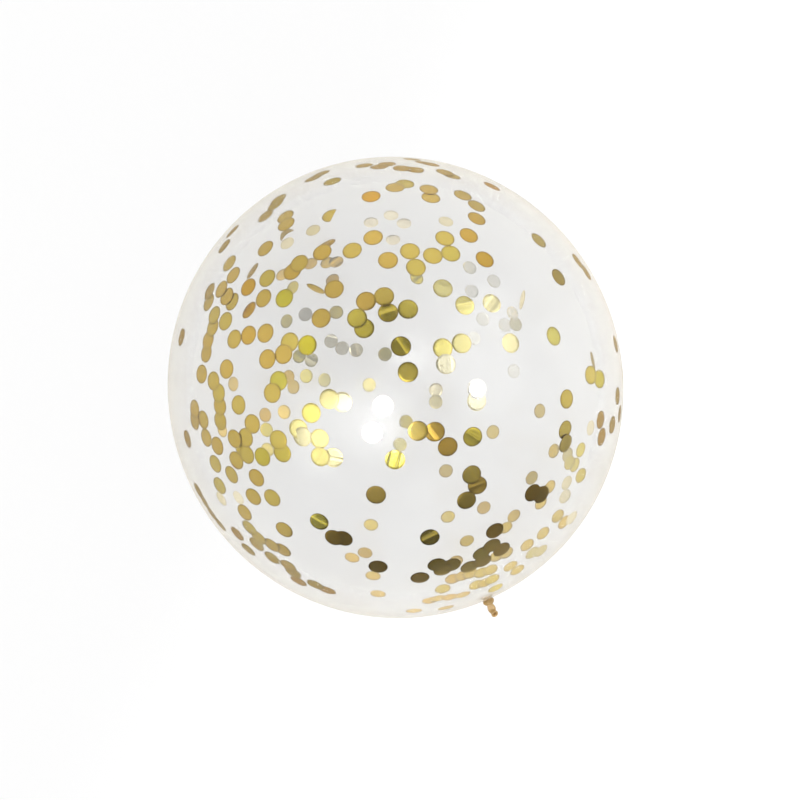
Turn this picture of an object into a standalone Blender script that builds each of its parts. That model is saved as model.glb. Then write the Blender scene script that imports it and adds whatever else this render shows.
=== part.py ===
"""A giant see-through latex balloon, blown up, tied off and lying on its side.

Body, neck, knot, tail and rolled lip are one moulding of latex, and it is sealed, so it is one
closed solid. The neck is level and points along -Y. The origin is the middle of the small flat
spot that the balloon rests on. Metres, +Z up.
"""

import math

import bmesh
import bpy
from mathutils import Matrix, Vector

# Body: a round balloon, a little longer along its neck axis than it is wide
BODY_WIDTH = 0.800
BODY_LENGTH = 0.814
FLAT_SPOT_WIDTH = 0.100
FOOT_REACH = 0.080

# Neck: leaves the body's outline at this angle from the pole and narrows to the knot
SHOULDER_ANGLE = math.radians(14.0)
SHOULDER_PULL = 0.75
NECK_LENGTH = 0.006
NECK_WIDTH = 0.013
NECK_FLARE = 0.009
PLEATS = 8
PLEAT_DEPTH = 0.0012
PLEAT_REACH = 0.060

# Knot: the neck wound once round itself, with one strand crossing over
KNOT_WIDTH = 0.021
KNOT_BAND = 0.0088
KNOT_TILT = math.radians(13.0)
STRAND_WIDTH = 0.0180
STRAND_BAND = 0.0066
STRAND_TILT = math.radians(-34.0)
STRAND_TURN = math.radians(70.0)

# Tail: pressed flat past the knot, then curled up to an open rolled lip
TAIL_WIDTH = 0.0150
TAIL_THICKNESS = 0.0046
TAIL_RUN = 0.0110
TAIL_FLATNESS = 1.7
CURL_RADIUS = 0.0085
CURL_ANGLE = math.radians(62.0)
CURL_TURN = math.radians(12.0)
MOUTH_WIDTH = 0.0068
MOUTH_DEPTH = 0.0050
MOUTH_FLOOR_WIDTH = 0.00476
LIP_ROLL = 0.0032
LIP_START = math.radians(-60.0)
LIP_SWEEP = math.radians(240.0)
FILM_AT_LIP = 0.0008

# Fineness of the faceting
BODY_SEGMENTS = 64
FOOT_CUTS = 4
QUARTER_RINGS = 13
SHOULDER_RINGS = 11
NECK_RINGS = 11
BAND_SEGMENTS = 28
BAND_SIDES = 12
TAIL_SIDES = 24
RUN_RINGS = 4
CURL_RINGS = 6
ROLL_RINGS = 7
WELD = 1e-6
SHARP_ANGLE = math.radians(40.0)

# What follows from the sizes above
HALF_WIDTH = BODY_WIDTH / 2
HALF_LENGTH = BODY_LENGTH / 2
AXIS_HEIGHT = math.sqrt(HALF_WIDTH**2 - (FLAT_SPOT_WIDTH / 2) ** 2)
NECK_END = -(HALF_LENGTH + NECK_LENGTH)
KNOT_CENTRE = NECK_END - KNOT_BAND / 2
NECK_TIP = KNOT_CENTRE - KNOT_BAND / 4
TAIL_START = KNOT_CENTRE + KNOT_BAND / 4
RUN_END = KNOT_CENTRE - KNOT_BAND / 2 - TAIL_RUN

LATEX_COLOUR = (0.93, 0.91, 0.86, 1.0)


def clear_scene():
    """Takes out whatever objects the scene starts with."""
    for obj in list(bpy.data.objects):
        bpy.data.objects.remove(obj)


def latex():
    """Thin milky latex, glossy and see-through."""
    material = bpy.data.materials.new("clear_latex")
    material.use_nodes = True
    shader = material.node_tree.nodes["Principled BSDF"]
    shader.inputs["Base Color"].default_value = LATEX_COLOUR
    shader.inputs["Roughness"].default_value = 0.2
    shader.inputs["Metallic"].default_value = 0.0
    shader.inputs["IOR"].default_value = 1.52
    shader.inputs["Transmission Weight"].default_value = 1.0
    return material


def place(name, bm, material=None):
    """Makes an object of the bmesh, smooth and facing out, and links it to the scene."""
    bmesh.ops.remove_doubles(bm, verts=bm.verts, dist=WELD)
    bmesh.ops.recalc_face_normals(bm, faces=bm.faces)
    mesh = bpy.data.meshes.new(name)
    bm.to_mesh(mesh)
    bm.free()
    mesh.shade_smooth()
    mesh.set_sharp_from_angle(angle=SHARP_ANGLE)
    obj = bpy.data.objects.new(name, mesh)
    bpy.context.scene.collection.objects.link(obj)
    if material:
        mesh.materials.append(material)
    return obj


def as_tool(obj):
    """Marks an object that is only there to be fused into another."""
    obj.hide_render = True
    obj.display_type = "WIRE"
    return obj


def body_outline():
    """(radius, y) from the far pole over the widest ring to the neck's end, then onto the axis."""
    points = []
    for i in range(QUARTER_RINGS):
        angle = math.pi / 2 * i / QUARTER_RINGS
        points.append((HALF_WIDTH * math.sin(angle), HALF_LENGTH * math.cos(angle)))
    sweep = math.pi / 2 - SHOULDER_ANGLE
    for i in range(SHOULDER_RINGS):
        angle = math.pi / 2 + sweep * i / SHOULDER_RINGS
        points.append((HALF_WIDTH * math.sin(angle), HALF_LENGTH * math.cos(angle)))
    points += neck_outline()
    points.append((0.0, NECK_TIP))
    return points


def neck_outline():
    """(radius, y) from the shoulder to the knot, on a curve that turns from the body's slope to the axis."""
    shoulder = Vector((HALF_WIDTH * math.sin(SHOULDER_ANGLE), -HALF_LENGTH * math.cos(SHOULDER_ANGLE)))
    slope = Vector((-HALF_WIDTH * math.cos(SHOULDER_ANGLE), -HALF_LENGTH * math.sin(SHOULDER_ANGLE)))
    knot = Vector((NECK_WIDTH / 2, NECK_END))
    leave = shoulder + slope.normalized() * SHOULDER_PULL * (shoulder.x - knot.x)
    arrive = knot + Vector((0.0, NECK_FLARE))
    points = []
    for i in range(NECK_RINGS + 1):
        t = i / NECK_RINGS
        s = 1 - t
        point = s**3 * shoulder + 3 * s**2 * t * leave + 3 * s * t**2 * arrive + t**3 * knot
        points.append((point.x, point.y))
    points.append((NECK_WIDTH / 2, NECK_TIP))
    return points


def pleat(point):
    """Moves a point of the neck out or in, so that the film gathers into pleats towards the knot."""
    radius = math.hypot(point.x, point.z)
    if point.y > 0 or radius < WELD:
        return point
    along = max(0.0, 1 - radius / PLEAT_REACH)
    # The pleats deepen towards the knot, then shrink with the neck's own width.
    depth = PLEAT_DEPTH * along * min(1.0, 2 * radius / NECK_WIDTH)
    ripple = math.cos(PLEATS * math.atan2(point.x, point.z))
    across = (radius + depth * ripple) / radius
    return Vector((point.x * across, point.y, point.z * across))


def refine_foot(bm):
    """Makes the facets fine where the body is cut flat, so that the flat spot comes out round."""
    near = []
    for face in bm.faces:
        middle = face.calc_center_median()
        if middle.z < 0 and middle.xy.length < FOOT_REACH:
            near.append(face)
    edges = list({edge for face in near for edge in face.edges})
    fine = bmesh.ops.subdivide_edges(bm, edges=edges, cuts=FOOT_CUTS, use_grid_fill=True)
    for vert in fine["geom_inner"]:
        if isinstance(vert, bmesh.types.BMVert):
            radius = HALF_WIDTH * math.sqrt(1 - (vert.co.y / HALF_LENGTH) ** 2)
            across = radius / math.hypot(vert.co.x, vert.co.z)
            vert.co = Vector((vert.co.x * across, vert.co.y, vert.co.z * across))


def make_body(material):
    """The body and neck, turned about the neck axis, pleated, and cut flat where it rests."""
    bm = bmesh.new()
    verts = [bm.verts.new((0.0, y, radius)) for radius, y in body_outline()]
    edges = [bm.edges.new(pair) for pair in zip(verts, verts[1:])]
    bmesh.ops.spin(
        bm,
        geom=verts + edges,
        cent=(0, 0, 0),
        axis=(0, 1, 0),
        dvec=(0, 0, 0),
        angle=2 * math.pi,
        steps=BODY_SEGMENTS,
        use_merge=True,
    )
    bmesh.ops.remove_doubles(bm, verts=bm.verts, dist=WELD)
    for vert in bm.verts:
        vert.co = pleat(vert.co)
    refine_foot(bm)
    cut = bmesh.ops.bisect_plane(
        bm,
        geom=bm.verts[:] + bm.edges[:] + bm.faces[:],
        dist=WELD,
        plane_co=(0, 0, -AXIS_HEIGHT),
        plane_no=(0, 0, -1),
        clear_outer=True,
    )
    rim = [item for item in cut["geom_cut"] if isinstance(item, bmesh.types.BMEdge)]
    bmesh.ops.contextual_create(bm, geom=rim)
    body = place("balloon", bm, material)
    body.location.z = AXIS_HEIGHT
    return body


def make_band(name, width, thickness, tilt, turn, centre_y):
    """One turn of latex in the knot: a fat ring about the neck axis, leaning by tilt in the direction turn."""
    bm = bmesh.new()
    middle = (width - thickness) / 2
    section = bmesh.ops.create_circle(bm, segments=BAND_SIDES, radius=thickness / 2)
    upright = Matrix.Translation((middle, 0, 0)) @ Matrix.Rotation(math.pi / BAND_SIDES, 4, "Z")
    bmesh.ops.transform(bm, matrix=upright, verts=section["verts"])
    bmesh.ops.spin(
        bm,
        geom=bm.verts[:] + bm.edges[:],
        cent=(0, 0, 0),
        axis=(0, 1, 0),
        dvec=(0, 0, 0),
        angle=2 * math.pi,
        steps=BAND_SEGMENTS,
        use_merge=True,
    )
    lean = Matrix.Rotation(turn, 4, "Y") @ Matrix.Rotation(tilt, 4, "X")
    bmesh.ops.transform(bm, matrix=lean, verts=bm.verts)
    band = as_tool(place(name, bm))
    band.location = (0, centre_y, AXIS_HEIGHT)
    return band


def tail_stations():
    """The tail's sections from inside the knot to the mouth's floor.

    Each is (centre, direction, half width, half thickness, flatness).
    """
    flat = TAIL_THICKNESS / 2
    inner = MOUTH_WIDTH / 2
    outer = inner + FILM_AT_LIP
    down = Vector((0, -1, 0))
    stations = [(Vector((0, TAIL_START, 0)), down, KNOT_BAND / 2, flat, TAIL_FLATNESS)]
    for i in range(RUN_RINGS + 1):
        share = i / RUN_RINGS
        y = KNOT_CENTRE - KNOT_BAND / 2 + (RUN_END - KNOT_CENTRE + KNOT_BAND / 2) * share
        width = (KNOT_BAND + (TAIL_WIDTH - KNOT_BAND) * math.sin(share * math.pi / 2)) / 2
        stations.append((Vector((0, y, 0)), down, width, flat, TAIL_FLATNESS))
    side = Matrix.Rotation(CURL_TURN, 3, "Y")
    for i in range(1, CURL_RINGS + 1):
        share = i / CURL_RINGS
        angle = CURL_ANGLE * share
        swing = Vector((0, -CURL_RADIUS * math.sin(angle), CURL_RADIUS * (1 - math.cos(angle))))
        centre = Vector((0, RUN_END, 0)) + side @ swing
        direction = side @ Vector((0, -math.cos(angle), math.sin(angle)))
        width = TAIL_WIDTH / 2 + (outer - TAIL_WIDTH / 2) * share
        thickness = flat + (outer - flat) * share
        flatness = TAIL_FLATNESS + (1 - TAIL_FLATNESS) * share
        stations.append((centre, direction, width, thickness, flatness))
    middle = inner + LIP_ROLL / 2
    for i in range(ROLL_RINGS):
        angle = LIP_START + LIP_SWEEP * i / (ROLL_RINGS - 1)
        radius = middle + LIP_ROLL / 2 * math.cos(angle)
        rise = LIP_ROLL / 2 * (1 + math.sin(angle))
        stations.append((centre + direction * rise, direction, radius, radius, 1.0))
    floor = centre + direction * (LIP_ROLL / 2 - MOUTH_DEPTH)
    stations.append((floor, direction, MOUTH_FLOOR_WIDTH / 2, MOUTH_FLOOR_WIDTH / 2, 1.0))
    return stations


def tail_ring(centre, direction, width, thickness, flatness):
    """The corners of one section: an ellipse flatness times too thick, cut off level at its real thickness."""
    across = Vector((1, 0, 0))
    across = (across - across.dot(direction) * direction).normalized()
    up = across.cross(direction)
    corners = []
    for i in range(TAIL_SIDES):
        angle = 2 * math.pi * i / TAIL_SIDES
        height = max(-1.0, min(1.0, flatness * math.sin(angle)))
        corners.append(centre + across * width * math.cos(angle) + up * thickness * height)
    return corners


def make_tail():
    """The flattened tail, its curl, the rolled lip and the blind mouth, drawn out ring by ring."""
    bm = bmesh.new()
    stations = tail_stations()
    bmesh.ops.create_circle(bm, segments=TAIL_SIDES, radius=1.0)
    bm.verts.ensure_lookup_table()
    ring = list(bm.verts)
    edges = list(bm.edges)
    for vert, corner in zip(ring, tail_ring(*stations[0])):
        vert.co = corner
    first = list(edges)
    for station in stations[1:]:
        drawn = bmesh.ops.extrude_edge_only(bm, edges=edges)["geom"]
        edges = [item for item in drawn if isinstance(item, bmesh.types.BMEdge) and item.is_boundary]
        ring = follow(ring, edges)
        for vert, corner in zip(ring, tail_ring(*station)):
            vert.co = corner
    bmesh.ops.contextual_create(bm, geom=first)
    bmesh.ops.contextual_create(bm, geom=edges)
    tail = as_tool(place("tail", bm))
    tail.location = (0, 0, AXIS_HEIGHT)
    return tail


def follow(ring, edges):
    """The new ring's verts in the old ring's order: each is joined to its forerunner by one edge."""
    fresh = {vert for edge in edges for vert in edge.verts}
    return [next(e.other_vert(v) for e in v.link_edges if e.other_vert(v) in fresh) for v in ring]


def fuse(body, tools):
    """Makes the tools one solid with the body."""
    for tool in tools:
        joint = body.modifiers.new(tool.name, "BOOLEAN")
        joint.operation = "UNION"
        joint.solver = "EXACT"
        joint.object = tool


def main():
    """Builds the balloon as one solid."""
    clear_scene()
    body = make_body(latex())
    band = make_band("knot_band", KNOT_WIDTH, KNOT_BAND, KNOT_TILT, 0.0, KNOT_CENTRE)
    strand = make_band("knot_strand", STRAND_WIDTH, STRAND_BAND, STRAND_TILT, STRAND_TURN, KNOT_CENTRE)
    fuse(body, [band, strand, make_tail()])


main()
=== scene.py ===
"""A giant confetti balloon lying on its side, with gold foil discs clinging inside its clear latex.

The neck is level and points along -Y, the balloon rests on the middle of its underside at the
origin, and the camera looks straight down on it. Everything is in metres, +Z up.
"""

import logging
import math
import random
from collections.abc import Callable
from dataclasses import dataclass, field, replace
from enum import Enum

import bmesh
import bpy
from bmesh.types import BMEdge, BMesh, BMVert
from bpy.types import Material, Mesh, Node, NodeSocket, Object, World
from mathutils import Matrix, Vector


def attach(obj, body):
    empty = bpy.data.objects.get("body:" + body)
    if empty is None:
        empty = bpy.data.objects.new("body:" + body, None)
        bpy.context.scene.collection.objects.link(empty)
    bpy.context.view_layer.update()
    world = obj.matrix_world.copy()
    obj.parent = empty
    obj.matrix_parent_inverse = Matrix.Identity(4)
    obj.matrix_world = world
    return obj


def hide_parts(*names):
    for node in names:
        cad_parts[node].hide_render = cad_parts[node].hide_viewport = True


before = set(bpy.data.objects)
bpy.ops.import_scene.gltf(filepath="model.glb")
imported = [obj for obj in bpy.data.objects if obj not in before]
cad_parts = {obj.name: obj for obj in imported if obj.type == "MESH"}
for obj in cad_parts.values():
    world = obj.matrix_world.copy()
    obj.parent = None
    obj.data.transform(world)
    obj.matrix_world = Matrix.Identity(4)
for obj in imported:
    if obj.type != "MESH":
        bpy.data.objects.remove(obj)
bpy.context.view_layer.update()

log = logging.getLogger("balloon")

DISC_MAP = "disc"
WELD = 1e-6
WHITE = (1.0, 1.0, 1.0, 1.0)

Colour = tuple[float, float, float, float]
Span = tuple[float, float]


class Wall(Enum):
    """The wall of the balloon that a disc clings to, as the camera sees it."""

    NEAR = "near"
    FAR = "far"


class Form(Enum):
    """How a foil disc is bent, and whether it lies against the film or stands off it."""

    FLAT = "flat"
    CREASED = "creased"
    BANDED = "banded"
    CURLED = "curled"
    FOLDED = "folded"
    STANDING = "standing"
    HEAPED = "heaped"


@dataclass(frozen=True)
class Shape:
    """The form of the blown-up latex: the sizes of the body and neck and what follows from them."""

    width: float = 0.800
    length: float = 0.814
    flat_spot: float = 0.100
    foot_softness: float = 0.0005
    shoulder_angle: float = math.radians(14.0)
    shoulder_pull: float = 0.75
    neck_length: float = 0.006
    neck_width: float = 0.013
    neck_flare: float = 0.009
    pleats: int = 8
    pleat_depth: float = 0.0012
    pleat_reach: float = 0.060
    fine_pleats: int = 24
    fine_share: float = 0.3
    fine_shift: float = 1.0
    knot_band: float = 0.0088

    @property
    def half_width(self) -> float:
        """Half the body's width."""
        return self.width / 2

    @property
    def half_length(self) -> float:
        """Half the body's length along the neck axis."""
        return self.length / 2

    @property
    def axis_height(self) -> float:
        """The neck axis's height above the floor."""
        return math.sqrt(self.half_width**2 - (self.flat_spot / 2) ** 2)

    @property
    def knot_centre(self) -> float:
        """Where the knot's middle lies along Y."""
        return -(self.half_length + self.neck_length) - self.knot_band / 2

    def body_outline(self, rings: int) -> list[Vector]:
        """The body's outline from the far pole to the shoulder, as points (radius, y)."""
        angles = [(math.pi - self.shoulder_angle) * i / rings for i in range(rings)]
        return [Vector((self.half_width * math.sin(a), self.half_length * math.cos(a))) for a in angles]

    def neck_outline(self, rings: int) -> list[Vector]:
        """The neck's outline from the shoulder to the knot, on one smooth curve.

        Args:
            rings: How many steps the curve is divided into.

        Returns:
            Points (radius, y), the last one inside the knot.
        """
        sine, cosine = math.sin(self.shoulder_angle), math.cos(self.shoulder_angle)
        shoulder = Vector((self.half_width * sine, -self.half_length * cosine))
        slope = Vector((-self.half_width * cosine, -self.half_length * sine)).normalized()
        knot = Vector((self.neck_width / 2, -(self.half_length + self.neck_length)))
        leave = shoulder + slope * self.shoulder_pull * (shoulder.x - knot.x)
        arrive = knot + Vector((0.0, self.neck_flare))
        points = []
        for i in range(rings + 1):
            t = i / rings
            s = 1 - t
            points.append(s**3 * shoulder + 3 * s**2 * t * leave + 3 * s * t**2 * arrive + t**3 * knot)
        points.append(Vector((knot.x, self.knot_centre - self.knot_band / 4)))
        return points

    def pleat(self, point: Vector) -> Vector:
        """Gathers a point of the neck into the pleats.

        Args:
            point: A point on the turned form, measured from the body's centre.

        Returns:
            The point moved out or in along its own radius.
        """
        radius = math.hypot(point.x, point.z)
        if point.y > 0 or radius < WELD:
            return point.copy()
        along = max(0.0, 1 - radius / self.pleat_reach)
        depth = self.pleat_depth * along * min(1.0, 2 * radius / self.neck_width)
        turn = math.atan2(point.x, point.z)
        fine = self.fine_share * along * math.cos(self.fine_pleats * turn + self.fine_shift)
        across = (radius + depth * (math.cos(self.pleats * turn) + fine)) / radius
        return Vector((point.x * across, point.y, point.z * across))

    def settle(self, point: Vector) -> Vector:
        """Lifts a point, measured from the body's centre, to its height, and presses the foot softly flat."""
        height = point.z + self.axis_height
        return Vector((point.x, point.y, (height + math.hypot(height, self.foot_softness)) / 2))


@dataclass(frozen=True)
class Viewpoint:
    """The camera, straight above the balloon, with the picture's up a little off the neck axis."""

    turn: float = math.radians(23.5)
    distance: float = 2.068
    aside: float = 0.0077
    below: float = 0.0217
    lens: float = 51.9
    sensor: float = 36.0
    picture: float = 800.0

    @property
    def right(self) -> Vector:
        """The picture's right in the room."""
        return Vector((math.cos(self.turn), -math.sin(self.turn), 0.0))

    @property
    def up(self) -> Vector:
        """The picture's up in the room."""
        return Vector((math.sin(self.turn), math.cos(self.turn), 0.0))

    def along(self, angle: float) -> Vector:
        """The level direction at an angle in the picture, in degrees counter-clockwise from its right."""
        return self.right * math.cos(math.radians(angle)) + self.up * math.sin(math.radians(angle))

    def place(self, shape: Shape) -> Vector:
        """Where the camera stands in the room, above a balloon of this shape."""
        centre = Vector((0.0, 0.0, shape.axis_height + self.distance))
        return centre + self.right * self.aside - self.up * self.below

    def make(self, shape: Shape) -> None:
        """Makes the camera and looks through it.

        Args:
            shape: The balloon's form.
        """
        data = bpy.data.cameras.new("camera")
        data.lens = self.lens
        data.sensor_width = self.sensor
        camera = bpy.data.objects.new("camera", data)
        camera.location = self.place(shape)
        camera.rotation_euler = (0.0, 0.0, -self.turn)
        bpy.context.scene.collection.objects.link(camera)
        bpy.context.scene.camera = camera

    def meet(self, shape: Shape, pixel: Vector, wall: Wall, inset: float) -> tuple[Vector, Vector]:
        """The point of the balloon's inner side that shows at a pixel of the picture.

        Args:
            shape: The balloon's form.
            pixel: Pixels right of and below the picture's top left corner.
            wall: Which of the two walls behind that pixel.
            inset: How far inside the outer form the inner side lies.

        Returns:
            The point, and the direction inwards from it.
        """
        radius = shape.half_width - inset
        squeeze = Matrix.Diagonal((1.0, shape.half_width / shape.half_length, 1.0))
        centre = Vector((0.0, 0.0, shape.axis_height))
        focal = self.lens / self.sensor * self.picture
        across = (pixel.x - self.picture / 2) / focal
        upward = (self.picture / 2 - pixel.y) / focal
        eye = squeeze @ (self.place(shape) - centre)
        ray = (squeeze @ (self.right * across + self.up * upward - Vector((0, 0, 1)))).normalized()
        middle = eye - ray * eye.dot(ray)
        reach = radius**2 - middle.length_squared
        if reach <= 0:
            hit = middle.normalized() * radius
        else:
            hit = middle + ray * math.sqrt(reach) * (-1 if wall is Wall.NEAR else 1)
        inwards = -(squeeze @ hit).normalized()
        point = squeeze.inverted() @ hit + centre
        if point.z < inset:
            point.z = inset
            inwards = Vector((0.0, 0.0, 1.0))
        return point, inwards


class NodeDesk:
    """Adds and joins the nodes of one material or world."""

    MIX_SOCKETS = {"FLOAT": (2, 3, 0), "RGBA": (6, 7, 2)}

    def __init__(self, owner: Material | World) -> None:
        """Starts on the owner's node tree."""
        owner.use_nodes = True
        self.tree = owner.node_tree

    @property
    def shader(self) -> Node:
        """The shader that the tree starts with: a material's surface, or a world's background."""
        return self.tree.nodes.get("Principled BSDF") or self.tree.nodes["Background"]

    def fill(self, node: Node, inputs: dict[str | int, object]) -> None:
        """Joins inputs of a node to other sockets, or gives them plain values.

        Args:
            node: The node.
            inputs: What goes into each input, by its name or number.
        """
        for name, source in inputs.items():
            if isinstance(source, NodeSocket):
                self.tree.links.new(source, node.inputs[name])
            else:
                node.inputs[name].default_value = source

    def add(self, kind: str, inputs: dict[str | int, object] | None = None, **settings: object) -> Node:
        """Adds one node.

        Args:
            kind: The node's type.
            inputs: What goes into its inputs, by name or number.
            **settings: Properties to set on it.

        Returns:
            The node.
        """
        node = self.tree.nodes.new(kind)
        for name, value in settings.items():
            setattr(node, name, value)
        self.fill(node, inputs or {})
        return node

    def math(self, operation: str, *values: object, clamp: bool = False) -> NodeSocket:
        """What an operation makes of numbers, kept between 0 and 1 if it is clamped."""
        node = self.add("ShaderNodeMath", dict(enumerate(values)), operation=operation, use_clamp=clamp)
        return node.outputs["Value"]

    def vector(self, operation: str, *values: object) -> NodeSocket:
        """What an operation makes of vectors: a number for a length or a dot product, or else a vector."""
        node = self.add("ShaderNodeVectorMath", dict(enumerate(values)), operation=operation)
        return node.outputs["Value" if operation in ("LENGTH", "DOT_PRODUCT") else "Vector"]

    def ease(self, value: object, start: float, end: float, low: float = 0, high: float = 1) -> NodeSocket:
        """Eases a value smoothly from low at start to high at end."""
        inputs = {"Value": value, "From Min": start, "From Max": end, "To Min": low, "To Max": high}
        return self.add("ShaderNodeMapRange", inputs, interpolation_type="SMOOTHSTEP").outputs["Result"]

    def mix(self, share: object, first: object, second: object, kind: str = "RGBA") -> NodeSocket:
        """Mixes two colours, or two numbers if the kind is FLOAT, by how much of the second shows."""
        a, b, out = self.MIX_SOCKETS[kind]
        return self.add("ShaderNodeMix", {0: share, a: first, b: second}, data_type=kind).outputs[out]

    def noise(self, place: object, scale: float, detail: float = 2.0) -> NodeSocket:
        """A noise pattern of so many waves a metre, with so many finer layers in it."""
        inputs = {"Vector": place, "Scale": scale, "Detail": detail}
        return self.add("ShaderNodeTexNoise", inputs).outputs["Fac"]

    def bump(self, height: object, distance: float, strength: float = 1.0) -> NodeSocket:
        """The normal of a surface raised by a height, times a distance in metres."""
        inputs = {"Height": height, "Distance": distance, "Strength": strength}
        return self.add("ShaderNodeBump", inputs).outputs["Normal"]

    def ramp(self, share: object, *stops: tuple[float, Colour]) -> NodeSocket:
        """Runs through a row of colours.

        Args:
            share: Where on the row to read.
            *stops: Each colour's place from 0 to 1, and the colour.

        Returns:
            The colour.
        """
        node = self.add("ShaderNodeValToRGB", {"Fac": share})
        row = node.color_ramp.elements
        while len(row) < len(stops):
            row.new(0.5)
        for element, (place, colour) in zip(row, stops):
            element.position = place
            element.color = colour
        return node.outputs["Color"]

    def place(self) -> NodeSocket:
        """Object coordinates."""
        return self.add("ShaderNodeTexCoord").outputs["Object"]

    def mirrored(self) -> NodeSocket:
        """1 for what shows in a gloss or in foil, 0 for what is seen straight or through the film."""
        return self.math("GREATER_THAN", self.add("ShaderNodeLightPath").outputs["Glossy Depth"], 0.5)


@dataclass(frozen=True)
class ClearLatex:
    """Thin stretched latex: see-through, faintly milky, softly shining."""

    pale: Colour = (0.53, 0.525, 0.515, 1.0)
    milky: Colour = (0.46, 0.455, 0.44, 1.0)
    edge: Colour = (0.32, 0.31, 0.29, 1.0)
    edge_start: float = 0.60
    roughness: float = 0.45
    cover: float = 0.20
    clearness: float = 0.96
    ior: float = 1.12
    gloss: float = 0.10
    gloss_ior: float = 1.6
    cloud_scale: float = 3.0
    cloud_detail: float = 3.0

    def make(self) -> Material:
        """Makes the material.

        Returns:
            The clear film's material.
        """
        material = bpy.data.materials.new("clear_latex")
        desk = NodeDesk(material)
        cloud = desk.noise(desk.place(), self.cloud_scale, self.cloud_detail)
        glance = desk.add("ShaderNodeLayerWeight").outputs["Facing"]
        thick = desk.ease(glance, self.edge_start, 1.0)
        looks = {
            "Base Color": desk.mix(thick, desk.mix(cloud, self.pale, self.milky), self.edge),
            "Roughness": self.roughness,
            "Transmission Weight": self.clearness,
            "IOR": self.ior,
            "Coat Weight": 1.0,
            "Coat Roughness": self.gloss,
            "Coat IOR": self.gloss_ior,
            "Alpha": self.cover,
        }
        desk.fill(desk.shader, looks)
        return material


@dataclass(frozen=True)
class AmberLatex:
    """Unstretched latex at the neck: thicker, amber, fading out into the clear film."""

    amber: Colour = (0.52, 0.27, 0.055, 1.0)
    honey: Colour = (0.80, 0.60, 0.28, 1.0)
    roughness: float = 0.28
    transmission: float = 0.35
    ior: float = 1.50
    cover: float = 0.95
    fade_start: float = -0.4060
    fade_end: float = -0.4135
    grain_scale: float = 260.0
    grain_detail: float = 3.0
    grain_depth: float = 0.0004
    grain_strength: float = 0.25

    def make(self) -> Material:
        """Makes the material.

        Returns:
            The neck's and knot's material.
        """
        material = bpy.data.materials.new("amber_latex")
        desk = NodeDesk(material)
        place = desk.place()
        along = desk.add("ShaderNodeSeparateXYZ", {"Vector": place}).outputs["Y"]
        thick = desk.ease(along, self.fade_start, self.fade_end)
        grain = desk.noise(place, self.grain_scale, self.grain_detail)
        looks = {
            "Base Color": desk.mix(grain, self.amber, self.honey),
            "Alpha": desk.math("MULTIPLY", thick, self.cover),
            "Roughness": self.roughness,
            "Transmission Weight": self.transmission,
            "IOR": self.ior,
            "Normal": desk.bump(grain, self.grain_depth, self.grain_strength),
        }
        desk.fill(desk.shader, looks)
        return material


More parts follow.
